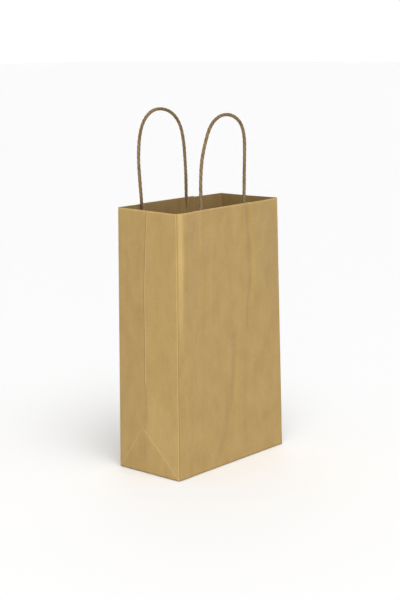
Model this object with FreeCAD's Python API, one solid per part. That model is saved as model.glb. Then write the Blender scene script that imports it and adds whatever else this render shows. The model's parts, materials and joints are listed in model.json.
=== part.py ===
import FreeCAD, Part
import math
import os

# A plain kraft paper gift bag, open and standing, with two twisted paper handles.
# Millimetres, +Z up. The origin is the centre of the base, on the surface that the bag stands on.
# The front wall faces -Y. Each gusset is two facets that fold inwards at a centre crease.

# Bag
bag_width = 160.0
bag_depth = 78.0
bag_height = 254.0
paper = 0.2
crease_gap = 0.3
seam_width = 18.0

# Base
base_gap = 0.3
flap_lap = 20.0
tuck_reach = 44.0

# Handles
cord_diameter = 3.2
glued_length = 45.0
glue_gap = 0.05
pivot_rise = 5.0
swing_gap = 0.7
front_handle_centre = -7.5
rear_handle_centre = -12.5

# Paper patches that hold the handles
patch_width = 83.0
patch_height = 50.0
front_patch_centre = -7.5
rear_patch_centre = -7.0
front_patch_rise = -1.0
rear_patch_rise = 0.8

# Each loop's route, as (distance right of the handle's centre, height over its hinge line)
front_route = [
    (-31.3, 0.0),
    (-32.2, 19.0),
    (-31.6, 39.0),
    (-26.5, 56.0),
    (-19.5, 72.0),
    (-6.5, 80.3),
    (10.5, 80.6),
    (24.8, 72.8),
    (30.4, 60.0),
    (31.2, 43.0),
    (30.8, 21.0),
    (31.3, 0.0),
]
rear_route = [
    (-32.4, 0.0),
    (-34.3, 19.0),
    (-35.6, 39.0),
    (-33.6, 58.0),
    (-28.5, 72.5),
    (-17.0, 82.6),
    (-1.0, 85.0),
    (14.5, 79.8),
    (25.0, 68.0),
    (29.8, 51.0),
    (31.2, 33.0),
    (31.9, 16.2),
    (31.8, 0.0),
]

# Share of the shorter run that an arc takes up at each corner of a route
arc_share = 0.45

# Planes and lines that the pieces share
side = bag_width / 2
front_outer = -bag_depth / 2
front_inner = front_outer + paper
seam_outer = bag_depth / 2
rear_outer = seam_outer - paper
rear_inner = rear_outer - paper
centre_crease = (front_inner + rear_inner) / 2
wall_bottom = 3 * paper + base_gap
cord_radius = cord_diameter / 2
hinge_height = bag_height + pivot_rise
front_cord_plane = front_inner + paper + cord_radius
rear_cord_plane = rear_inner - paper - cord_radius


def slab(x_range, y_range, z_range):
    """A rectangular sheet or block between two limits on each axis."""
    low = FreeCAD.Vector(min(x_range), min(y_range), min(z_range))
    high = FreeCAD.Vector(max(x_range), max(y_range), max(z_range))
    size = high - low
    return Part.makeBox(size.x, size.y, size.z, low)


def wall(y_range):
    """A front or rear wall: a whole sheet from the base to the rim."""
    return slab((-side, side), y_range, (wall_bottom, bag_height))


def gusset_facet(hand, y_range):
    """Half of a gusset, left (hand -1) or right (hand +1), between two creases."""
    return slab((hand * side, hand * (side - paper)), y_range, (wall_bottom, bag_height))


def side_seam_flap():
    """The glued lap of the tube's long seam, on the outside of the rear wall at its right edge."""
    return slab((side - seam_width, side), (rear_outer, seam_outer), (wall_bottom, bag_height))


def base_outline(hand, reach, z_low, z_high):
    """A base flap from the front (hand -1) or rear (hand +1) edge, its ends folded in at 45 degrees."""
    edge = front_outer if hand < 0 else rear_outer
    corners = [
        FreeCAD.Vector(-side, edge, z_low),
        FreeCAD.Vector(side, edge, z_low),
        FreeCAD.Vector(side - reach, edge - hand * reach, z_low),
        FreeCAD.Vector(-side + reach, edge - hand * reach, z_low),
    ]
    face = Part.Face(Part.makePolygon(corners + corners[:1]))
    return face.extrude(FreeCAD.Vector(0, 0, z_high - z_low))


def base_flap_rear():
    """The outer base flap, which reaches forwards past the middle."""
    return base_outline(1, rear_outer + flap_lap / 2, 0, paper)


def base_flap_front():
    """The inner base flap: it steps up over the outer flap and is glued to it along the lap."""
    whole_reach = flap_lap / 2 - front_outer
    lower_reach = -flap_lap / 2 - crease_gap - front_outer
    step = slab((-side, side), (front_outer, front_outer + lower_reach - paper), (paper, 2 * paper))
    upper = base_outline(-1, whole_reach, paper, 2 * paper).cut(step)
    return base_outline(-1, lower_reach, 0, paper).fuse(upper).removeSplitter()


def base_tuck(hand):
    """The end of a gusset folded in under the flaps, as the base's inner layer."""
    return slab((hand * side, hand * (side - tuck_reach)), (front_outer, rear_outer), (2 * paper, 3 * paper))


def patch_heights(rise):
    """The lowest and highest level of a handle patch whose top stands over the rim by rise."""
    return (bag_height + rise - patch_height, bag_height + rise)


def backing_patch(wall_face, inwards, centre, rise):
    """The plain strip between the cord's ends and the wall."""
    x_range = (centre - patch_width / 2, centre + patch_width / 2)
    return slab(x_range, (wall_face, wall_face + inwards * paper), patch_heights(rise))


def channel(x, patch_face, cord_plane, half_width, heights):
    """A straight channel with a round top that runs up a patch over one end of a cord."""
    low, high = heights
    inwards = math.copysign(1, cord_plane - patch_face)
    across = (x - half_width, x + half_width)
    cylinder = Part.makeCylinder(half_width, high - low, FreeCAD.Vector(x, cord_plane, low))
    round_top = cylinder.common(slab(across, (cord_plane, cord_plane + inwards * half_width), heights))
    return round_top.fuse(slab(across, (patch_face, cord_plane), heights))


def cover_patch(wall_face, inwards, centre, rise, cord_plane, leg_places):
    """The strip over the cord's ends, glued to the backing patch and ridged over each end."""
    patch_face = wall_face + inwards * paper
    heights = patch_heights(rise)
    x_range = (centre - patch_width / 2, centre + patch_width / 2)
    strip = slab(x_range, (patch_face, patch_face + inwards * paper), heights)
    inside = cord_radius + glue_gap
    for x in leg_places:
        strip = strip.fuse(channel(x, patch_face, cord_plane, inside + paper, heights))
    for x in leg_places:
        strip = strip.cut(channel(x, patch_face, cord_plane, inside, heights))
    return strip.removeSplitter()


def cord_ends(cord_plane, leg_places):
    """Both glued ends of a handle's cord, from inside the patch to a round top under the hinge line."""
    low = bag_height - glued_length
    high = hinge_height - cord_diameter - swing_gap
    ends = []
    for x in leg_places:
        end = Part.makeCylinder(cord_radius, high - low, FreeCAD.Vector(x, cord_plane, low))
        round_top = Part.makeSphere(cord_radius, FreeCAD.Vector(x, cord_plane, high))
        ends.append(end.fuse(round_top).removeSplitter())
    return Part.makeCompound(ends)


def loop_points(route, centre, cord_plane):
    """A route's points in the bag's own frame."""
    points = []
    for across, up in route:
        points.append(FreeCAD.Vector(centre + across, cord_plane, hinge_height + up))
    return points


def rounded_path(points):
    """Straight runs joined by tangent arcs, one arc at each corner."""
    edges = []
    start = points[0]
    for before, corner, after in zip(points, points[1:], points[2:]):
        inward = (before - corner).normalize()
        outward = (after - corner).normalize()
        half_turn = (math.pi - inward.getAngle(outward)) / 2
        shorter = min((before - corner).Length, (after - corner).Length)
        setback = arc_share * shorter
        radius = setback / math.tan(half_turn)
        print("arc radius", round(radius, 1), "turn", round(math.degrees(2 * half_turn), 1))
        first = corner + inward * setback
        last = corner + outward * setback
        bisector = (inward + outward).normalize()
        middle = corner + bisector * (radius / math.cos(half_turn) - radius)
        edges.append(Part.LineSegment(start, first).toShape())
        edges.append(Part.Arc(first, middle, last).toShape())
        start = last
    edges.append(Part.LineSegment(start, points[-1]).toShape())
    return Part.Wire(edges)


def cord_loop(route, centre, cord_plane):
    """A handle's free loop of cord, with round ends centred on the hinge line."""
    points = loop_points(route, centre, cord_plane)
    path = rounded_path(points)
    section = Part.Wire(Part.makeCircle(cord_radius, points[0], points[1] - points[0]))
    tube = path.makePipeShell([section], True, False)
    expected = math.pi * cord_radius**2 * path.Length
    print("loop length", round(path.Length, 1), "volume share", round(tube.Volume / expected, 4))
    ends = [Part.makeSphere(cord_radius, points[0]), Part.makeSphere(cord_radius, points[-1])]
    return tube.fuse(ends).removeSplitter()


def leg_places(route, centre):
    """Where a route's two legs meet the hinge line."""
    return (centre + route[0][0], centre + route[-1][0])


def handle_set(name, route, handle_centre, wall_face, inwards, cord_plane, patch_centre, rise):
    """One handle: its loop, its glued ends and the two patches that hold them."""
    legs = leg_places(route, handle_centre)
    return {
        name + "_handle": cord_loop(route, handle_centre, cord_plane),
        name + "_cord_ends": cord_ends(cord_plane, legs),
        name + "_backing_patch": backing_patch(wall_face, inwards, patch_centre, rise),
        name + "_cover_patch": cover_patch(wall_face, inwards, patch_centre, rise, cord_plane, legs),
    }


def all_pieces():
    """Every piece of the bag by its name."""
    rear_half = (centre_crease + crease_gap / 2, rear_inner - crease_gap)
    front_half = (front_inner + crease_gap, centre_crease - crease_gap / 2)
    pieces = {
        "front_wall": wall((front_outer, front_inner)),
        "rear_wall": wall((rear_inner, rear_outer)),
        "side_seam_flap": side_seam_flap(),
        "base_flap_front": base_flap_front(),
        "base_flap_rear": base_flap_rear(),
    }
    for label, hand in (("left", -1), ("right", 1)):
        pieces[label + "_gusset_rear"] = gusset_facet(hand, rear_half)
        pieces[label + "_gusset_front"] = gusset_facet(hand, front_half)
        pieces[label + "_base_tuck"] = base_tuck(hand)
    pieces.update(
        handle_set(
            "front", front_route, front_handle_centre, front_inner, 1,
            front_cord_plane, front_patch_centre, front_patch_rise,
        )
    )
    pieces.update(
        handle_set(
            "rear", rear_route, rear_handle_centre, rear_inner, -1,
            rear_cord_plane, rear_patch_centre, rear_patch_rise,
        )
    )
    return pieces


os.makedirs("parts", exist_ok=True)
for name, shape in all_pieces().items():
    if not shape.isValid():
        print("not valid:", name)
    shape.exportStep("parts/" + name + ".step")
    print(name, len(shape.Solids), "solid(s)", round(shape.Volume, 2), "mm3")
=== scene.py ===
"""A kraft paper gift bag with two twisted paper handles, open and standing on a pale floor."""

import json
import math

import bpy
import numpy as np
from mathutils import Matrix, Vector


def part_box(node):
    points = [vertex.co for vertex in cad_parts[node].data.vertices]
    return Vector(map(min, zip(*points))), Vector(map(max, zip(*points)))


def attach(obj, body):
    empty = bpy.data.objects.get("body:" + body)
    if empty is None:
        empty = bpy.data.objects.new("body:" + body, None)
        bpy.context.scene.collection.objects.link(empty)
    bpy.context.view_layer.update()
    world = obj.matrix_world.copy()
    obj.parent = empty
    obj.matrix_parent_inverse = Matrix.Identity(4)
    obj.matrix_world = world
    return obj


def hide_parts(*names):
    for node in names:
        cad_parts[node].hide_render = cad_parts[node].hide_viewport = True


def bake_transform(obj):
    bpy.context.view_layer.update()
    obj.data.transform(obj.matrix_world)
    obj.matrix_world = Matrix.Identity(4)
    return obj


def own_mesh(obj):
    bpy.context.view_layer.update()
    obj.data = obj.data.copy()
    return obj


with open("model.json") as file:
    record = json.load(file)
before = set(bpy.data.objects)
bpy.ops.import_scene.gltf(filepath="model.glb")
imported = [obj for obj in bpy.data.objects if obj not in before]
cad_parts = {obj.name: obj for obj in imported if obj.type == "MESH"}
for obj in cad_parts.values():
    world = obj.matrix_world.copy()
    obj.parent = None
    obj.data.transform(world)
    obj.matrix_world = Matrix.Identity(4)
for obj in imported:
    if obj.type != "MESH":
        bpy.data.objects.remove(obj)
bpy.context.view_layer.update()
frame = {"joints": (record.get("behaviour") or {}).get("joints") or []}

MM = 0.001

# What the CAD frame gives, in metres: the bag stands on z = 0 and its front wall faces low y
front_low, front_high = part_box("front_wall")
_, rear_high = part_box("rear_wall")
joints = {joint["name"]: joint for joint in frame["joints"]}
SIDE = front_high[0]
FRONT = front_low[1]
REAR = rear_high[1]
DEPTH = REAR - FRONT
RIM = front_high[2]
PAPER = front_high[1] - front_low[1]
HINGE = joints["front_handle_bend"]["pos_m"][2]
GLUED_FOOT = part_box("front_cord_ends")[0][2]

# The same sizes in millimetres, for the shape of the walls
SIDE_MM = SIDE / MM
HALF_DEPTH_MM = DEPTH / MM / 2
RIM_MM = RIM / MM

# The sheet: its drawn thickness, and the roundness of its creases and of its foot
SHEET = 0.32 * MM
CREASE_RADIUS = 1.1 * MM
FOOT_RADIUS = 0.9 * MM
# Columns of the sheet's mesh are no closer than this
CLOSEST_COLUMNS = 0.15 * MM
# How far the corner stretches of the sheet reach on to the front and rear walls
CORNER_STRETCH = 8 * MM

# How far each corner of the mouth stands to the right, to the rear and over its place, in millimetres
mouth_shift = {
    "rear_left": (1.8, -2.6, 0.3),
    "near_left": (-2.4, -2.4, -0.3),
    "front_right": (-3.0, 5.2, 0.3),
    "rear_right": (0.2, 3.6, -0.2),
}

# The left gusset's centre crease: height, how far to the rear it lies, how far it stands out
left_crease = [
    (0, 2.0, 0.0),
    (45, 2.8, 1.4),
    (58, -0.4, 2.1),
    (88, -0.6, 2.3),
    (91, 1.6, 2.2),
    (125, 0.6, 2.2),
    (180, 0.4, 2.3),
    (226, -1.3, 1.0),
    (254, -2.5, 0.0),
]
# The folded base's diagonals meet at this height on the left gusset, this far to the rear
LEFT_APEX = 45.0
LEFT_APEX_REARWARD = 3.4
# The left gusset's near half is dented below this height, at its centre crease
LEFT_NOTCH = 90.0
right_crease = [(0, 0.0, 0.0), (120, 1.5, -2.0), (254, 4.5, -2.5)]

# Soft creases of the front wall: path of (height, place), depth, width, top and bottom, in millimetres
front_creases = [
    ([(135, 27), (153, 28), (175, 32.5), (217, 30.6), (254, 28.5)], 1.35, 3.3, 262, 122),
    ([(55, -1), (83, 4), (117, 7)], 0.95, 4.2, 112, 48),
    ([(7, -19), (33, -10), (55, -5)], 0.75, 4.2, 50, 4),
]

# The cords: three strands that turn once in each pitch, glued this far behind the wall's sheet
CORD_DIAMETER = 3.2 * MM
STRANDS = 3
STRAND_PITCH = 15.0 * MM
CORD_GLUE = 0.25 * MM

# Each loop's middle, and its route from its left foot to its right one: across from the middle, and
# up from the hinge, in metres
FRONT_CENTRE = -0.0110
REAR_CENTRE = -0.0125
front_route = [
    (-0.0332, 0.000),
    (-0.0340, 0.019),
    (-0.0330, 0.039),
    (-0.0280, 0.056),
    (-0.0206, 0.072),
    (-0.0070, 0.0803),
    (0.0106, 0.0806),
    (0.0258, 0.0728),
    (0.0322, 0.060),
    (0.0332, 0.043),
    (0.0330, 0.021),
    (0.0332, 0.000),
]
rear_route = [
    (-0.0336, 0.000),
    (-0.0354, 0.019),
    (-0.0364, 0.039),
    (-0.0344, 0.058),
    (-0.0288, 0.0725),
    (-0.0168, 0.0828),
    (-0.0002, 0.0852),
    (0.0168, 0.0798),
    (0.0278, 0.068),
    (0.0322, 0.051),
    (0.0334, 0.033),
    (0.0342, 0.0162),
    (0.0340, 0.000),
]
# Where each cord's two glued ends lie across its wall, in millimetres
front_legs = [(FRONT_CENTRE + front_route[0][0]) / MM, (FRONT_CENTRE + front_route[-1][0]) / MM]
rear_legs = [(REAR_CENTRE + rear_route[0][0]) / MM, (REAR_CENTRE + rear_route[-1][0]) / MM]


# ---------------------------------------------------------------- materials


def new_material(name, roughness):
    """An empty material with one principled shader. Returns the material, its tree and the shader."""
    material = bpy.data.materials.new(name)
    material.use_nodes = True
    tree = material.node_tree
    tree.nodes.clear()
    output = tree.nodes.new("ShaderNodeOutputMaterial")
    shader = tree.nodes.new("ShaderNodeBsdfPrincipled")
    shader.inputs["Roughness"].default_value = roughness
    tree.links.new(shader.outputs["BSDF"], output.inputs["Surface"])
    return material, tree, shader


def noise(tree, stretch, scale, detail):
    """Noise over the object, its scale multiplied by stretch along each axis. Returns its value."""
    place = tree.nodes.new("ShaderNodeTexCoord")
    mapping = tree.nodes.new("ShaderNodeMapping")
    mapping.inputs["Scale"].default_value = stretch
    texture = tree.nodes.new("ShaderNodeTexNoise")
    texture.inputs["Scale"].default_value = scale
    texture.inputs["Detail"].default_value = detail
    tree.links.new(place.outputs["Object"], mapping.inputs["Vector"])
    tree.links.new(mapping.outputs["Vector"], texture.inputs["Vector"])
    return texture.outputs["Fac"]


def ramp(tree, value, stops):
    """A colour or grey ramp over a value. stops are (place, colour)."""
    node = tree.nodes.new("ShaderNodeValToRGB")
    while len(node.color_ramp.elements) < len(stops):
        node.color_ramp.elements.new(0.5)
    for element, (place, colour) in zip(node.color_ramp.elements, stops):
        element.position = place
        element.color = (*colour, 1)
    tree.links.new(value, node.inputs["Fac"])
    return node.outputs["Color"]


def mixed(tree, share, first, second, kind="MIX"):
    """Two colours mixed by a share, each a socket or a constant."""
    node = tree.nodes.new("ShaderNodeMix")
    node.data_type = "RGBA"
    node.blend_type = kind
    share_socket, first_socket, second_socket = node.inputs[0], node.inputs[6], node.inputs[7]
    for socket, value in ((share_socket, share), (first_socket, first), (second_socket, second)):
        if isinstance(value, bpy.types.NodeSocket):
            tree.links.new(value, socket)
        else:
            socket.default_value = value if isinstance(value, float) else (*value, 1)
    return node.outputs[2]


def attribute(tree, name):
    """The value of one of the mesh's own attributes."""
    node = tree.nodes.new("ShaderNodeAttribute")
    node.attribute_name = name
    return node.outputs["Fac"]


def bump(tree, shader, layers):
    """Bump from (height socket, distance in metres) layers."""
    normal = None
    for height, distance in layers:
        node = tree.nodes.new("ShaderNodeBump")
        node.inputs["Distance"].default_value = distance
        node.inputs["Strength"].default_value = 1.0
        tree.links.new(height, node.inputs["Height"])
        if normal is not None:
            tree.links.new(normal, node.inputs["Normal"])
        normal = node.outputs["Normal"]
    tree.links.new(normal, shader.inputs["Normal"])


def kraft_material(name, pale, middle, deep, wear_and_painted_light, painted_shade):
    """Kraft paper: streaks up the sheet, stray fibres, mottling, flecks, pale rubbed creases, and the
    painted highlights and painted shade that the mesh's attributes lay on it.
    """
    material, tree, shader = new_material(name, 0.78)
    streak = noise(tree, (1, 1, 0.06), 950, 4)
    band = noise(tree, (1, 1, 0.03), 150, 3)
    cloud = noise(tree, (1, 1, 0.55), 75, 4)
    fibre = noise(tree, (1, 1, 0.6), 1700, 5)
    fleck = noise(tree, (1, 1, 0.35), 2600, 2)
    colour = ramp(tree, cloud, [(0.3, deep), (0.5, middle), (0.72, pale)])
    streaks = ramp(tree, streak, [(0.3, (0.86, 0.845, 0.82)), (0.55, (1, 1, 1))])
    colour = mixed(tree, 0.42, colour, streaks, "MULTIPLY")
    bands = ramp(tree, band, [(0.33, (0.90, 0.89, 0.87)), (0.66, (1, 1, 1))])
    colour = mixed(tree, 0.32, colour, bands, "MULTIPLY")
    dark_fibre, pale_fibre = (0.84, 0.82, 0.78), (1.07, 1.08, 1.10)
    fibres = ramp(tree, fibre, [(0.36, dark_fibre), (0.5, (1, 1, 1)), (0.66, pale_fibre)])
    colour = mixed(tree, 0.75, colour, fibres, "MULTIPLY")
    flecks = ramp(tree, fleck, [(0.27, (0.62, 0.55, 0.45)), (0.36, (1, 1, 1))])
    colour = mixed(tree, 0.5, colour, flecks, "MULTIPLY")
    # Pale from wear and from painted highlights, laid on by the mesh's attribute
    colour = mixed(tree, attribute(tree, "wear_and_painted_light"), colour, wear_and_painted_light)
    # Painted shade, laid on by the mesh's attribute
    colour = mixed(tree, attribute(tree, "painted_shade"), colour, painted_shade)
    tree.links.new(colour, shader.inputs["Base Color"])
    shader.inputs["Specular IOR Level"].default_value = 0.22
    shader.inputs["Sheen Weight"].default_value = 0.1
    shader.inputs["Sheen Roughness"].default_value = 0.6
    gloss = ramp(tree, fibre, [(0.3, (0.86, 0.86, 0.86)), (0.7, (0.68, 0.68, 0.68))])
    tree.links.new(gloss, shader.inputs["Roughness"])
    bump(tree, shader, [(streak, 0.03 * MM), (cloud, 0.15 * MM), (fibre, 0.05 * MM)])
    return material


def cord_material():
    """Twisted kraft paper, with painted shade in the grooves between strands and fine wrinkles along
    them.
    """
    material, tree, shader = new_material("cord_paper", 0.7)
    fibre = noise(tree, (1, 1, 1), 1900, 5)
    patch = noise(tree, (1, 1, 1), 210, 3)
    colour = ramp(tree, patch, [(0.3, (0.165, 0.105, 0.046)), (0.7, (0.275, 0.185, 0.088))])
    fibres = ramp(tree, fibre, [(0.3, (0.68, 0.64, 0.58)), (0.62, (1, 1, 1))])
    colour = mixed(tree, 0.7, colour, fibres, "MULTIPLY")
    # Painted shade: the grooves between strands are darkened in the colour
    colour = mixed(tree, attribute(tree, "groove"), colour, (0.075, 0.042, 0.018))
    tree.links.new(colour, shader.inputs["Base Color"])
    shader.inputs["Specular IOR Level"].default_value = 0.3
    bump(tree, shader, [(fibre, 0.08 * MM)])
    return material


kraft = kraft_material(
    "kraft_paper",
    pale=(0.392, 0.260, 0.086),
    middle=(0.370, 0.242, 0.079),
    deep=(0.345, 0.222, 0.070),
    # The pale colour of wear and of painted highlights
    wear_and_painted_light=(0.56, 0.40, 0.165),
    # The dark colour of painted shade
    painted_shade=(0.17, 0.10, 0.032),
)
patch_paper = kraft_material(
    "patch_paper",
    pale=(0.41, 0.27, 0.10),
    middle=(0.375, 0.242, 0.088),
    deep=(0.34, 0.215, 0.075),
    # The pale colour of wear and of painted highlights
    wear_and_painted_light=(0.50, 0.35, 0.15),
    # The dark colour of painted shade
    painted_shade=(0.16, 0.095, 0.03),
)
cord_paper = cord_material()


# ---------------------------------------------------------------- the paper's surface


def crease_point(path, hand, height):
    """A gusset's centre crease at some heights: a path of (height, to the rear, out) in millimetres."""
    levels, rearward, outward = (np.array(column, float) * MM for column in zip(*path))
    x = hand * (SIDE + np.interp(height, levels, outward))
    return np.stack([x, np.interp(height, levels, rearward), height], -1)


def corner_point(corner, height):
    """A corner crease at some heights: straight from the base up to its place in the open mouth."""
    x = -SIDE if corner.endswith("left") else SIDE
    y = REAR if corner.startswith("rear") else FRONT
    shift = np.array(mouth_shift[corner]) * MM
    share = (height / RIM)[..., None]
    base = np.stack([np.full_like(height, x), np.full_like(height, y), height], -1)
    return base + shift * share


# The creases in order round the bag, and the distance along the flat sheet where each lies
crease_order = ["rear_left", "left_centre", "near_left", "front_right", "right_centre", "rear_right"]
LEFT_CENTRE = DEPTH / 2
NEAR = DEPTH
RIGHT = DEPTH + 2 * SIDE
RIGHT_CENTRE = RIGHT + DEPTH / 2
REAR_RIGHT = RIGHT + DEPTH
ROUND = REAR_RIGHT + 2 * SIDE
crease_places = [0.0, LEFT_CENTRE, NEAR, RIGHT, RIGHT_CENTRE, REAR_RIGHT]

# The facets, each named after its place and numbered as the crease that it starts from
LEFT_FACETS = (0, 1)
FRONT_FACET = 2
RIGHT_FACETS = (3, 4)
REAR_FACET = 5


def crease_line(index, height):
    """A crease, by its number round the bag, at some heights."""
    name = crease_order[index % 6]
    if name == "left_centre":
        return crease_point(left_crease, -1, height)
    if name == "right_centre":
        return crease_point(right_crease, 1, height)
    return corner_point(name, height)


def smooth(value, low, high):
    """0 below low, 1 above high, and a smooth step between."""
    share = np.clip((value - low) / (high - low), 0, 1)
    return share * share * (3 - 2 * share)


def ridge(offset, width):
    """1 at no offset and a bell shape around it."""
    return np.exp(-((offset / width) ** 2))


def soft_crease(x, z, path, depth, width, top, bottom):
    """A soft valley in a wall, along a path of (height, place), with a low crest on its right."""
    levels, places = (np.array(column, float) for column in zip(*path))
    offset = x - np.interp(z, levels, places)
    fade = smooth(z, bottom, bottom + 22) * (1 - smooth(z, top, top + 14))
    return fade * depth * (0.22 * ridge(offset - 2.0 * width, 1.5 * width) - ridge(offset, width))


def unevenness(across, up, seed):
    """Gentle waves of a handled sheet that run mostly up it, about 1 high."""
    rng = np.random.default_rng(seed)
    total = np.zeros_like(across)
    for _ in range(9):
        wave = rng.uniform(9, 38)
        tilt = rng.uniform(-0.12, 0.12)
        phase = rng.uniform(0, 2 * math.pi)
        swell = 0.6 + 0.4 * np.sin(up / rng.uniform(45, 110) + rng.uniform(0, 6.28))
        total += wave / 38 * swell * np.sin(2 * math.pi * (across + tilt * up) / wave + phase)
    return total / 3


def glued_end_ridge(offset, z):
    """How a cord's glued end shows through the wall, offset millimetres to its side."""
    return 0.34 * ridge(offset, 1.9) * smooth(z, RIM_MM - 50, RIM_MM - 44)


def front_relief(x, z):
    """How far the front wall stands out from flat at (x, z), all in millimetres.

    It rolls out beside the near corner and bulges on the right, more so towards the rim.
    """
    high = smooth(z, 95, 205)
    corner_roll = 6.0 + 3.0 * high
    relief = (0.3 + 1.6 * high) * smooth(x, -SIDE_MM, -SIDE_MM + corner_roll)
    relief *= 1 - 0.8 * smooth(x, -SIDE_MM + 10, -SIDE_MM + 34)
    relief += 1.5 * high * smooth(x, 4, 48) * (1 - smooth(x, 50, SIDE_MM))
    for leg in front_legs:
        relief += glued_end_ridge(x - leg, z)
    for path, depth, width, top, bottom in front_creases:
        relief += soft_crease(x, z, path, depth, width, top, bottom)
    relief += 0.30 * unevenness(x, z, 3) * smooth(z, 4, 40)
    return relief


def gusset_relief(y, z, seed):
    """How far a gusset stands out from its two flat facets, in millimetres."""
    return 0.12 * unevenness(y, z, seed) * smooth(z, 4, 30)


def left_fold_marks(y, z):
    """The two diagonals that the folded base left in the left gusset: 1 on each one, 0 away from it."""
    marks = []
    for corner in (-HALF_DEPTH_MM, HALF_DEPTH_MM):
        run = np.array([corner - LEFT_APEX_REARWARD, -LEFT_APEX])
        run /= np.linalg.norm(run)
        across = (y - LEFT_APEX_REARWARD) * run[1] - (z - LEFT_APEX) * run[0]
        along = (y - LEFT_APEX_REARWARD) * run[0] + (z - LEFT_APEX) * run[1]
        marks.append(ridge(across, 0.75) * smooth(along, -1, 4))
    return marks


def lit_triangle(y, z):
    """The stretch of the left gusset between its notch, its right diagonal and the near corner."""
    slope = LEFT_APEX / (HALF_DEPTH_MM + LEFT_APEX_REARWARD)
    above = (z - LEFT_APEX) - (y - LEFT_APEX_REARWARD) * slope
    below = LEFT_NOTCH + y * (LEFT_NOTCH - LEFT_APEX) / HALF_DEPTH_MM - z
    return smooth(above, 0, 4) * smooth(below, -8, 8)


def rear_relief(x, z):
    """How far the rear wall stands out from flat, in millimetres. The base creased it as it lay flat."""
    relief = 0.20 * unevenness(x, z, 8) * smooth(z, 4, 40)
    for leg in rear_legs:
        relief += glued_end_ridge(x - leg, z)
    base_crease = HALF_DEPTH_MM + 1.5
    relief += 0.30 * ridge(z - base_crease, 0.9)
    return relief


def facet_relief(facet, share, z):
    """How far one facet stands out from flat, in metres, by the share of its width and the height."""
    height = z / MM
    if facet == FRONT_FACET:
        relief = front_relief(SIDE_MM * (2 * share - 1), height)
    elif facet == REAR_FACET:
        relief = rear_relief(SIDE_MM * (1 - 2 * share), height)
    elif facet in LEFT_FACETS:
        y = HALF_DEPTH_MM * (1 - share) if facet == LEFT_FACETS[0] else -HALF_DEPTH_MM * share
        near_mark, rear_mark = left_fold_marks(y, height)
        relief = gusset_relief(y, height, 5) + 0.28 * near_mark + 0.16 * rear_mark
    else:
        y = HALF_DEPTH_MM * (share - 1) if facet == RIGHT_FACETS[0] else HALF_DEPTH_MM * share
        relief = gusset_relief(y, height, 6)
    edge = smooth(share, 0, 0.02) * (1 - smooth(share, 0.98, 1))
    return relief * edge * MM


def paper_point(s, z):
    """The paper's outer face at distances s along the sheet and heights z, with its outward direction."""
    s = np.mod(np.asarray(s, float), ROUND)
    z = np.asarray(z, float)
    s, z = np.broadcast_arrays(s, z)
    point = np.zeros(s.shape + (3,))
    outward = np.zeros(s.shape + (3,))
    ends = crease_places[1:] + [ROUND]
    lines = [crease_line(index, z) for index in range(6)]
    for facet in range(6):
        start, end = crease_places[facet], ends[facet]
        here = (s >= start) & (s < end)
        first, second = lines[facet], lines[(facet + 1) % 6]
        share = np.clip((s - start) / (end - start), 0, 1)
        # The facet runs straight from one crease to the next
        run = second - first
        flat = first + run * share[..., None]
        width = np.linalg.norm(run[..., :2], axis=-1, keepdims=True)
        along = run / width
        normal = np.stack([along[..., 1], -along[..., 0], np.zeros_like(share)], -1)
        # Beside each crease the sheet rounds into the next facet
        before, after = lines[facet - 1], lines[(facet + 2) % 6]
        entry = (first - before) / np.linalg.norm(first - before, axis=-1, keepdims=True)
        leave = (after - second) / np.linalg.norm(after - second, axis=-1, keepdims=True)
        near = np.clip(1 - (s - start) / CREASE_RADIUS, 0, 1)[..., None]
        far = np.clip(1 - (end - s) / CREASE_RADIUS, 0, 1)[..., None]
        flat = flat + (near**2) * CREASE_RADIUS / 4 * (along - entry)
        flat = flat + (far**2) * CREASE_RADIUS / 4 * (leave - along)
        relief = facet_relief(facet, share, z)[..., None]
        # The foot is tucked in along a quarter round
        foot = np.clip((FOOT_RADIUS - z) / FOOT_RADIUS, 0, 1)[..., None]
        tucked = FOOT_RADIUS * (1 - np.sqrt(np.clip(1 - foot**2, 0, 1)))
        place = flat + normal * (relief - tucked)
        point[here] = place[here]
        outward[here] = normal[here]
    return point, outward


def grid_mesh(name, points, attributes, thickness):
    """A sheet from a grid of points, made as thick as thickness on its inner side."""
    rows, columns = points.shape[:2]
    mesh = bpy.data.meshes.new(name)
    index = np.arange(rows * columns).reshape(rows, columns)
    corners = [index[:-1, :-1], index[:-1, 1:], index[1:, 1:], index[1:, :-1]]
    faces = np.stack(corners, -1).reshape(-1, 4)
    mesh.from_pydata(points.reshape(-1, 3).tolist(), [], faces.tolist())
    for key, values in attributes.items():
        layer = mesh.attributes.new(key, "FLOAT", "POINT")
        layer.data.foreach_set("value", np.asarray(values, np.float32).ravel())
    piece = bpy.data.objects.new(name, mesh)
    bpy.context.scene.collection.objects.link(piece)
    solidify = piece.modifiers.new("thickness", "SOLIDIFY")
    solidify.thickness = thickness
    solidify.offset = -1
    solidify.use_rim = True
    apply_modifiers(piece)
    smooth_faces(piece, 50)
    return piece


def apply_modifiers(piece):
    """Makes the piece's modifiers part of its mesh."""
    graph = bpy.context.evaluated_depsgraph_get()
    mesh = bpy.data.meshes.new_from_object(piece.evaluated_get(graph))
    piece.modifiers.clear()
    piece.data = mesh


def smooth_faces(piece, angle):
    """Shades the piece smooth, but for edges sharper than angle, in degrees."""
    for polygon in piece.data.polygons:
        polygon.use_smooth = True
    piece.data.set_sharp_from_angle(angle=math.radians(angle))


def finish_piece(piece, material):
    """Gives the piece its material."""
    piece.data.materials.clear()
    piece.data.materials.append(material)


# ---------------------------------------------------------------- the bag's sheet


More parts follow.
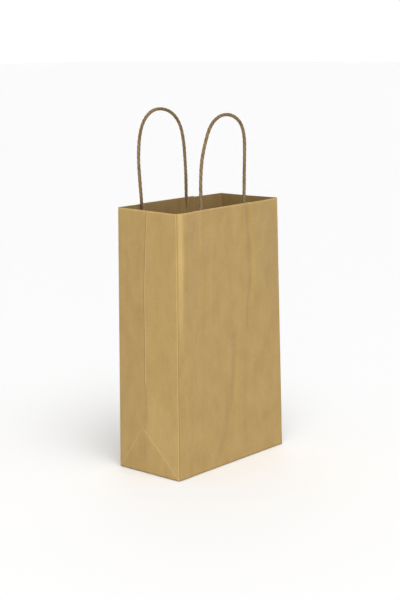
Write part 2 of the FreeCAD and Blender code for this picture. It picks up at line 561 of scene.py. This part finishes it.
def row_heights():
    """Levels of the sheet's rows, closer at the foot, the base's creases and the rim."""
    foot = FOOT_RADIUS * (1 - np.cos(np.linspace(0, math.pi / 2, 5)))
    low = np.arange(2.0, 52.0, 1.1) * MM
    tall = np.linspace(53 * MM, RIM - 4 * MM, 74)
    top = np.linspace(RIM - 3 * MM, RIM, 4)
    return np.concatenate([foot[:-1], [FOOT_RADIUS], low, tall, top])


def column_places(start, end, step):
    """Distances along the sheet from start to end, closer beside each crease."""
    places = set(np.round(np.linspace(start, end, int((end - start) / step) + 1), 6))
    for crease in crease_places + [ROUND]:
        for offset in (0, 0.25, 0.5, 0.8, 1.1, 1.6, 2.2, 3.0, 4.2):
            for place in (crease - offset * MM, crease + offset * MM):
                if start < place < end:
                    places.add(round(float(place), 6))
    ordered = sorted(places)
    kept = [ordered[0]]
    for place in ordered[1:-1]:
        if place - kept[-1] > CLOSEST_COLUMNS:
            kept.append(place)
    if ordered[-1] - kept[-1] < CLOSEST_COLUMNS:
        kept.pop()
    return np.array(kept + [ordered[-1]])


def pale_wear_and_painted_light(place, height):
    """Where the paper is pale: rubbed creases and edges, paler lines along the base's diagonals, and
    painted highlights by the left gusset's centre crease, on a strip by the near corner, along the near
    rim and on the left gusset's near half.
    """
    centre, near, right = LEFT_CENTRE / MM, NEAR / MM, RIGHT / MM
    y = HALF_DEPTH_MM - place
    wear_and_painted_light = np.zeros(place.shape)
    for crease in [c / MM for c in crease_places] + [ROUND / MM]:
        if abs(crease - centre) > 1:
            wear_and_painted_light = np.maximum(wear_and_painted_light, 0.45 * ridge(place - crease + 0.4, 0.5))
    # Painted highlight: a pale line on the near side of the left gusset's centre crease, strongest above
    # the notch
    sharp = smooth(height, 84, 96)
    wear_and_painted_light = np.maximum(wear_and_painted_light, (0.08 + 0.42 * sharp) * ridge(place - centre - 0.7, 0.55))
    # Painted highlight: a pale strip on the front wall beside the near corner
    painted_light_strip = smooth(place, near + 1, near + 3) * (1 - smooth(place, near + 5, near + 10))
    wear_and_painted_light = np.maximum(wear_and_painted_light, 0.42 * painted_light_strip * smooth(height, 100, 215))
    for mark, strength in zip(left_fold_marks(y, height), (0.5, 0.2)):
        wear_and_painted_light = np.maximum(wear_and_painted_light, strength * mark * (place < 2 * centre))
    # A pale line along the rim of the left gusset and front wall: partly a rubbed edge, partly a painted
    # highlight
    wear_and_painted_light = np.maximum(wear_and_painted_light, 0.6 * smooth(height, RIM_MM - 1.4, RIM_MM - 0.5) * (place < right))
    # Painted light: the left gusset's near half is a little paler, and paler still in the triangle
    # between its notch, its right diagonal and the near corner
    painted_light_front_half = smooth(place, centre, centre + 3) * (1 - smooth(place, near - 2, near))
    return np.maximum(wear_and_painted_light, (0.07 + 0.10 * lit_triangle(y, height)) * painted_light_front_half)


def painted_shade_mask(place, height):
    """Painted shade: dark lines on the rear side of the left gusset's centre crease and just past the
    near corner, along the far rim, at the foot and in the front wall's valleys.
    """
    centre, near, right = LEFT_CENTRE / MM, NEAR / MM, RIGHT / MM
    # Painted shade: a dark line on the rear side of the left gusset's centre crease, strongest above the
    # notch
    sharp = smooth(height, 84, 96)
    painted_shade = (0.12 + 0.55 * sharp) * ridge(place - centre + 0.25, 0.45)
    # Painted shade: a dark line on the front wall just past the near corner, strongest low down
    low = 1 - smooth(height, 90, 190)
    painted_shade = np.maximum(painted_shade, (0.25 + 0.35 * low) * ridge(place - near - 0.7, 0.5))
    # Painted shade: a dark line along the rim of the right gusset and rear wall
    far_rim = smooth(height, RIM_MM - 1.2, RIM_MM - 0.3) * (place > right)
    painted_shade = np.maximum(painted_shade, 0.3 * far_rim)
    # Painted shade: dark along the foot, where the bag meets the floor
    painted_shade = np.maximum(painted_shade, 0.45 * ridge(height, 0.9))
    # Painted shade: darker in the front wall's soft valleys
    on_front = (place > near) * (place < right)
    for path, _, width, top, bottom in front_creases:
        valley = -soft_crease(place - near - SIDE_MM, height, path, 1.0, width, top, bottom)
        painted_shade = np.maximum(painted_shade, 0.13 * np.clip(valley, 0, 1) * on_front)
    return painted_shade


def sheet_piece(name, start, end, step):
    """One stretch of the bag's wall, from start to end along the sheet."""
    heights = row_heights()
    places = column_places(start, end, step)
    s, z = np.meshgrid(places, heights)
    points, _ = paper_point(s, z)
    place, height = np.mod(s, ROUND) / MM, z / MM
    attributes = {"wear_and_painted_light": pale_wear_and_painted_light(place, height), "painted_shade": painted_shade_mask(place, height)}
    piece = grid_mesh(name, points, attributes, SHEET)
    finish_piece(piece, kraft)
    return piece


def turn_across(piece, index):
    """Works out the direction across a crease, which nothing uses, and bakes the piece's placement into
    its mesh.
    """
    foot, top = crease_line(index, np.array(0.0)), crease_line(index, np.array(RIM))
    probe = np.array(RIM / 2)
    before, _ = paper_point(crease_places[index] - 4 * MM, probe)
    after, _ = paper_point(crease_places[index] + 4 * MM, probe)
    across = after - before
    across[2] = 0
    across /= np.linalg.norm(across)
    across[2] = -(across @ (top - foot)) / (top - foot)[2]
    across /= np.linalg.norm(across)
    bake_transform(piece)


# ---------------------------------------------------------------- cords


def route_curve(name, points):
    """A smooth curve that follows a cord's route."""
    curve = bpy.data.curves.new(name, "CURVE")
    curve.dimensions = "3D"
    curve.resolution_u = 20
    spline = curve.splines.new("NURBS")
    spline.points.add(len(points) - 1)
    for control, point in zip(spline.points, points):
        control.co = (*point, 1)
    spline.order_u = 3
    spline.use_endpoint_u = True
    return curve


def route_line(name, points):
    """The points of a route's smooth curve, in order."""
    carrier = bpy.data.objects.new(name, route_curve(name, points))
    bpy.context.scene.collection.objects.link(carrier)
    bpy.context.view_layer.update()
    mesh = bpy.data.meshes.new_from_object(carrier)
    line = np.array([vertex.co for vertex in mesh.vertices])
    bpy.data.objects.remove(carrier)
    keep = np.concatenate([[True], np.linalg.norm(np.diff(line, axis=0), axis=1) > 1e-6])
    return line[keep]


def even_line(line, step):
    """The same line with its points evenly spaced."""
    travel = np.concatenate([[0], np.cumsum(np.linalg.norm(np.diff(line, axis=0), axis=1))])
    stations = np.linspace(0, travel[-1], int(travel[-1] / step) + 1)
    return np.stack([np.interp(stations, travel, line[:, axis]) for axis in range(3)], -1), stations


def tube_mesh(name, rings):
    """A closed tube through rings of points, one ring after another."""
    count, sides = rings.shape[:2]
    index = np.arange(count * sides).reshape(count, sides)
    beside = np.roll(index, -1, axis=1)
    faces = np.stack([index[:-1], beside[:-1], beside[1:], index[1:]], -1).reshape(-1, 4).tolist()
    faces += [index[0][::-1].tolist(), index[-1].tolist()]
    mesh = bpy.data.meshes.new(name)
    mesh.from_pydata(rings.reshape(-1, 3).tolist(), [], faces)
    return mesh


def twisted_cord(name, line, facing, seed):
    """A cord of twisted paper strands along a line that lies about square to facing."""
    line, travel = even_line(line, 0.55 * MM)
    ahead = np.gradient(line, axis=0)
    ahead /= np.linalg.norm(ahead, axis=1, keepdims=True)
    side = np.cross(ahead, facing)
    side /= np.linalg.norm(side, axis=1, keepdims=True)
    up = np.cross(side, ahead)

    # The strands wind a little unevenly, with a groove between each two and fine wrinkles along them
    rng = np.random.default_rng(seed)
    around = np.linspace(0, 2 * math.pi, 30, endpoint=False)
    wobble = 0.5 * np.sin(travel / (17 * MM) + rng.uniform(0, 6))
    wobble = wobble + 0.35 * np.sin(travel / (7.3 * MM))
    turn = 2 * math.pi * travel / STRAND_PITCH + wobble
    phase = around[None, :] * STRANDS - turn[:, None] * STRANDS
    groove = (1 - np.abs(np.sin(phase / 2))) ** 1.6
    wrinkle = 0.5 * np.sin(4 * phase + 2.1 * np.sin(travel[:, None] / (3.1 * MM)))
    radius = CORD_DIAMETER / 2 * (1.0 - 0.15 * groove + 0.018 * wrinkle)
    radius *= 1 + 0.03 * np.sin(travel[:, None] / (5.7 * MM) + rng.uniform(0, 6))

    sideways = np.cos(around)[None, :, None] * side[:, None, :]
    upward = np.sin(around)[None, :, None] * up[:, None, :]
    mesh = tube_mesh(name, line[:, None, :] + radius[..., None] * (sideways + upward))
    layer = mesh.attributes.new("groove", "FLOAT", "POINT")
    layer.data.foreach_set("value", (groove**1.5).astype(np.float32).ravel())
    cord = bpy.data.objects.new(name, mesh)
    bpy.context.scene.collection.objects.link(cord)
    smooth_faces(cord, 80)
    finish_piece(cord, cord_paper)
    return cord, line


def wall_place(hand, x):
    """Distance along the sheet of a place on the front (hand -1) or rear (hand +1) wall."""
    return NEAR + SIDE + x if hand < 0 else REAR_RIGHT + SIDE - x


def cord_centre(hand, x, height):
    """Where a glued cord's centre lies behind the wall at that place."""
    point, outward = paper_point(wall_place(hand, x), min(height, RIM))
    inner = point - outward * (SHEET + CORD_GLUE + CORD_DIAMETER / 2)
    return Vector((inner[0], inner[1], height))


def handle(name, hand, centre, route, lean, nodes, seed):
    """One handle: a loop of cord, with both its ends running down between the patches.

    The loop leans out by lean at its top.
    """
    first, last = centre + route[0][0], centre + route[-1][0]
    glued = (GLUED_FOOT, GLUED_FOOT + 16 * MM, RIM - 14 * MM)
    points = [cord_centre(hand, first, height) for height in glued]
    top = max(height for _, height in route)
    for across, height in route:
        share = (centre + across - first) / (last - first)
        base = cord_centre(hand, first, RIM).lerp(cord_centre(hand, last, RIM), share)
        out = hand * lean * (height / top) ** 1.5
        points.append(Vector((centre + across, base.y + out, HINGE + height)))
    points += [cord_centre(hand, last, height) for height in reversed(glued)]
    line = route_line(name + "_route", points)
    cord, path = twisted_cord(name, line, Vector((0, 1, 0)), seed)
    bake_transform(cord)
    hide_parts(*nodes)


# ---------------------------------------------------------------- patches


PATCH_THICKNESS = 0.2 * MM
BACKING_GAP = 0.02 * MM
COVER_GAP = 0.25 * MM


def rise_over_cords(x, z, legs):
    """How far a cover patch stands over the cord's glued ends, at each of its places."""
    radius = CORD_DIAMETER / 2 + 0.1 * MM
    rise = np.zeros(x.shape)
    for leg in legs:
        offset = np.abs(x - leg * MM)
        hump = 2 * radius * np.sqrt(np.clip(1 - (offset / (1.25 * radius)) ** 2, 0, 1))
        skirt = 1.1 * radius * ridge(offset, 1.5 * radius)
        over_cord = smooth(z, GLUED_FOOT - 3 * MM, GLUED_FOOT + 1 * MM)
        rise = np.maximum(rise, over_cord * np.maximum(hump * 0.97, skirt))
    return rise


def patch_piece(name, hand, node, gap, over_cords, seed):
    """A patch glued inside a wall: it follows the wall, and a cover patch rises over the cord's ends."""
    low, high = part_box(node)
    legs = front_legs if hand < 0 else rear_legs
    across = np.linspace(low[0], high[0], 150)
    up = np.linspace(low[2], high[2], 46)
    x, z = np.meshgrid(across, up)
    on_wall = np.minimum(z, RIM - 0.01 * MM)
    point, outward = paper_point(wall_place(hand, x), on_wall)
    rise = np.full(x.shape, gap)
    if over_cords:
        rise = gap + rise_over_cords(x, z, legs)
    rise = rise + 0.06 * MM * unevenness(x / MM, z / MM, seed)
    points = point - outward * (SHEET + rise)[..., None]
    points[..., 2] = z
    side_edge = np.minimum(x - low[0], high[0] - x)
    end_edge = np.minimum(z - low[2], high[2] - z)
    wear_and_painted_light = 0.6 * ridge(np.minimum(side_edge, end_edge) / MM, 0.7)
    piece = grid_mesh(name, points, {"wear_and_painted_light": wear_and_painted_light, "painted_shade": 0 * wear_and_painted_light}, PATCH_THICKNESS)
    finish_piece(piece, patch_paper)
    return piece


# ---------------------------------------------------------------- base and seam


def flat_sheet(name, corners, low, thickness, lift=np.zeros_like):
    """A base sheet at height low: four corners (x, y) in order, and how far it lifts at each y."""
    (x0, y0), (x1, y1), (x2, y2), (x3, y3) = corners
    a, b = np.meshgrid(np.linspace(0, 1, 60), np.linspace(0, 1, 40))
    x = (x0 * (1 - a) + x1 * a) * (1 - b) + (x3 * (1 - a) + x2 * a) * b
    y = (y0 * (1 - a) + y1 * a) * (1 - b) + (y3 * (1 - a) + y2 * a) * b
    points = np.stack([x, y, low + lift(y)], -1)
    side_edge = np.minimum(a, 1 - a) * abs(x1 - x0)
    end_edge = np.minimum(b, 1 - b) * abs(y2 - y0)
    wear_and_painted_light = 0.4 * ridge(np.minimum(side_edge, end_edge) / MM, 0.8)
    piece = grid_mesh(name, points, {"wear_and_painted_light": wear_and_painted_light, "painted_shade": 0 * wear_and_painted_light}, thickness)
    finish_piece(piece, kraft)
    return piece


def fold_away(piece, node):
    """A base sheet rides the rear wall."""
    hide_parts(node)
    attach(piece, "rear_wall_and_base")
    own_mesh(piece)


def base_flaps():
    """The two base flaps with their 45 degree ends. The front one's edge steps up over the rear one's."""
    inset = FOOT_RADIUS / 2
    edge = SIDE - inset
    rear_flap_low, rear_flap_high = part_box("base_flap_rear")
    tip = SIDE - (rear_flap_high[1] - rear_flap_low[1])
    back = rear_flap_high[1] - inset
    lap = rear_flap_low[1]
    corners = [(-edge, back), (edge, back), (tip, lap), (-tip, lap)]
    piece = flat_sheet("base_flap_rear_sheet", corners, 0, PAPER)
    fold_away(piece, "base_flap_rear")

    def step_up(y):
        return PAPER * smooth(y, lap - 1.2 * MM, lap - 0.2 * MM)

    front_flap_low, front_flap_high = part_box("base_flap_front")
    tip = SIDE - (front_flap_high[1] - front_flap_low[1])
    ahead = front_flap_low[1] + inset
    corners = [(edge, ahead), (-edge, ahead), (-tip, front_flap_high[1]), (tip, front_flap_high[1])]
    piece = flat_sheet("base_flap_front_sheet", corners, 0, PAPER, step_up)
    fold_away(piece, "base_flap_front")


def base_tucks():
    """The gusset ends, folded in over the base flaps."""
    inset = FOOT_RADIUS / 2
    for hand, node in ((-1, "left_base_tuck"), (1, "right_base_tuck")):
        low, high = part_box(node)
        inner = low[0] if hand > 0 else high[0]
        outer = hand * (SIDE - inset)
        front, rear = low[1] + inset, high[1] - inset
        corners = [(outer, front), (outer, rear), (inner, rear), (inner, front)]
        if hand > 0:
            corners = [corners[1], corners[0], corners[3], corners[2]]
        piece = flat_sheet(node + "_sheet", corners, low[2], high[2] - low[2])
        fold_away(piece, node)


def seam_lap():
    """The glued lap of the long seam, on the outside of the rear wall beside its right edge."""
    low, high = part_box("side_seam_flap")
    across = np.linspace(low[0], high[0] - 0.9 * MM, 26)
    up = np.linspace(1.0 * MM, RIM - 0.1 * MM, 140)
    x, z = np.meshgrid(across, up)
    wave = 0.05 * MM * np.sin(z / (11 * MM))
    point, outward = paper_point(wall_place(1, x), z)
    lift = 0.24 * MM + (0.06 * MM + wave) * (1 - smooth(x, low[0], low[0] + 4 * MM))
    points = point + outward * lift[..., None]
    wear_and_painted_light = 0.55 * ridge((x - low[0]) / MM, 0.5)
    attributes = {"wear_and_painted_light": wear_and_painted_light[:, ::-1], "painted_shade": 0 * wear_and_painted_light}
    piece = grid_mesh("seam_lap_sheet", points[:, ::-1], attributes, 0.22 * MM)
    finish_piece(piece, kraft)
    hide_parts("side_seam_flap")
    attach(piece, "rear_wall_and_base")


# ---------------------------------------------------------------- assembly


def bag_walls():
    """The bag's tube, in stretches that each turn at no more than one crease."""
    half = DEPTH / 4
    rear = sheet_piece("rear_wall_sheet", REAR_RIGHT, ROUND - CORNER_STRETCH, 2.2 * MM)
    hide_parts("rear_wall")
    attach(rear, "rear_wall_and_base")

    corner = sheet_piece("rear_left_sheet", -CORNER_STRETCH, half, 1.2 * MM)
    turn_across(corner, 0)
    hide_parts("left_gusset_rear")

    centre = sheet_piece("left_gusset_sheet", half, 3 * half, 1.1 * MM)
    turn_across(centre, 1)
    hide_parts("left_gusset_front")

    front = sheet_piece("front_wall_sheet", 3 * half, RIGHT - CORNER_STRETCH, 1.4 * MM)
    turn_across(front, 2)
    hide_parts("front_wall")

    corner = sheet_piece("front_right_sheet", RIGHT - CORNER_STRETCH, RIGHT + half, 1.6 * MM)
    turn_across(corner, 3)
    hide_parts("right_gusset_front")

    centre = sheet_piece("right_gusset_sheet", RIGHT + half, RIGHT + 3 * half, 1.8 * MM)
    turn_across(centre, 4)
    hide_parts("right_gusset_rear")

    last = sheet_piece("rear_right_sheet", RIGHT + 3 * half, REAR_RIGHT - 1e-7, 1.8 * MM)
    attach(last, "right_gusset_rear")


def patches():
    """Behind each wall, the backing patch and the cover patch that hold a handle's ends."""
    for hand, wall, body in ((-1, "front", "front_wall"), (1, "rear", "rear_wall_and_base")):
        node = wall + "_backing_patch"
        backing = patch_piece(wall + "_backing_sheet", hand, node, BACKING_GAP, False, 31)
        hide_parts(node)
        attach(backing, body)
        node = wall + "_cover_patch"
        cover = patch_piece(wall + "_cover_sheet", hand, node, COVER_GAP, True, 32)
        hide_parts(node)
        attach(cover, body)


def handles():
    """The two loops of cord."""
    handle(
        "front_handle_cord", -1, FRONT_CENTRE, front_route, 2.0 * MM,
        ("front_handle", "front_cord_ends"), 41,
    )
    handle(
        "rear_handle_cord", 1, REAR_CENTRE, rear_route, 1.5 * MM,
        ("rear_handle", "rear_cord_ends"), 42,
    )


# ---------------------------------------------------------------- camera, light and floor


CAMERA_AZIMUTH = -49.1
CAMERA_ELEVATION = 11.99
CAMERA_ROLL = -0.505
CAMERA_DISTANCE = 1.3149


def studio_camera():
    """The camera, which looks at the bag's middle from the front left and a little above."""
    azimuth, elevation = math.radians(CAMERA_AZIMUTH), math.radians(CAMERA_ELEVATION)
    roll = math.radians(CAMERA_ROLL)
    level = math.cos(elevation)
    back = Vector((math.sin(azimuth) * level, -math.cos(azimuth) * level, math.sin(elevation)))
    right = (-back).cross(Vector((0, 0, 1))).normalized()
    up = right.cross(-back)
    across = right * math.cos(roll) + up * math.sin(roll)
    above = up * math.cos(roll) - right * math.sin(roll)
    camera = bpy.data.objects.new("camera", bpy.data.cameras.new("camera"))
    bpy.context.scene.collection.objects.link(camera)
    place = Matrix((across, above, back)).transposed().to_4x4()
    place.translation = Vector((0, 0, RIM / 2)) + back * CAMERA_DISTANCE
    camera.matrix_world = place
    camera.data.lens = 79.9
    camera.data.sensor_width = 36
    camera.data.shift_x = -0.0037
    camera.data.shift_y = 0.0516
    bpy.context.scene.camera = camera


def area_light(name, place, target, size, power):
    """A rectangular lamp at place, facing target."""
    light = bpy.data.lights.new(name, "AREA")
    light.shape = "RECTANGLE"
    light.size, light.size_y = size
    light.energy = power
    lamp = bpy.data.objects.new(name, light)
    bpy.context.scene.collection.objects.link(lamp)
    lamp.location = place
    lamp.rotation_euler = (Vector(target) - Vector(place)).to_track_quat("-Z", "Y").to_euler()


def sun_light(name, direction, energy, spread):
    """An even light from one side, soft over the given angle in degrees."""
    sun = bpy.data.objects.new(name, bpy.data.lights.new(name, "SUN"))
    sun.data.energy = energy
    sun.data.angle = math.radians(spread)
    sun.rotation_euler = Vector(direction).to_track_quat("-Z", "Y").to_euler()
    bpy.context.scene.collection.objects.link(sun)


def studio_sky():
    """White near the horizon and dimmer overhead, so that the key light can shape the paper."""
    world = bpy.data.worlds.new("studio")
    world.use_nodes = True
    tree = world.node_tree
    background = tree.nodes["Background"]
    place = tree.nodes.new("ShaderNodeTexCoord")
    split = tree.nodes.new("ShaderNodeSeparateXYZ")
    tree.links.new(place.outputs["Generated"], split.inputs["Vector"])
    shade = ramp(tree, split.outputs["Z"], [(0.07, (1.03, 1.03, 1.03)), (0.25, (0.46, 0.46, 0.46))])
    tree.links.new(shade, background.inputs["Color"])
    bpy.context.scene.world = world


def studio_floor():
    """A wide pale floor, just under the bag's foot."""
    mesh = bpy.data.meshes.new("floor")
    reach = 30.0
    low = -0.4 * MM
    corners = [(-reach, -reach, low), (reach, -reach, low), (reach, reach, low), (-reach, reach, low)]
    mesh.from_pydata(corners, [], [(0, 1, 2, 3)])
    floor = bpy.data.objects.new("floor", mesh)
    bpy.context.scene.collection.objects.link(floor)
    material, _, shader = new_material("floor", 0.7)
    shader.inputs["Base Color"].default_value = (0.92, 0.92, 0.92, 1)
    mesh.materials.append(material)


def studio():
    """A bright soft studio: a low key light on the left, an even one overhead and a faint one behind."""
    studio_sky()
    area_light("key", (-1.25, -1.05, 0.11), (0, 0, 0.12), (0.7, 0.28), 10.5)
    sun_light("overhead", (0.28, 0.42, -0.86), 2.0, 50)
    sun_light("rear_fill", (-0.75, -0.62, -0.20), 0.45, 70)
    studio_floor()


bpy.context.scene.view_settings.view_transform = "Standard"
studio_camera()
studio()
handles()
bag_walls()
patches()
base_flaps()
base_tucks()
seam_lap()
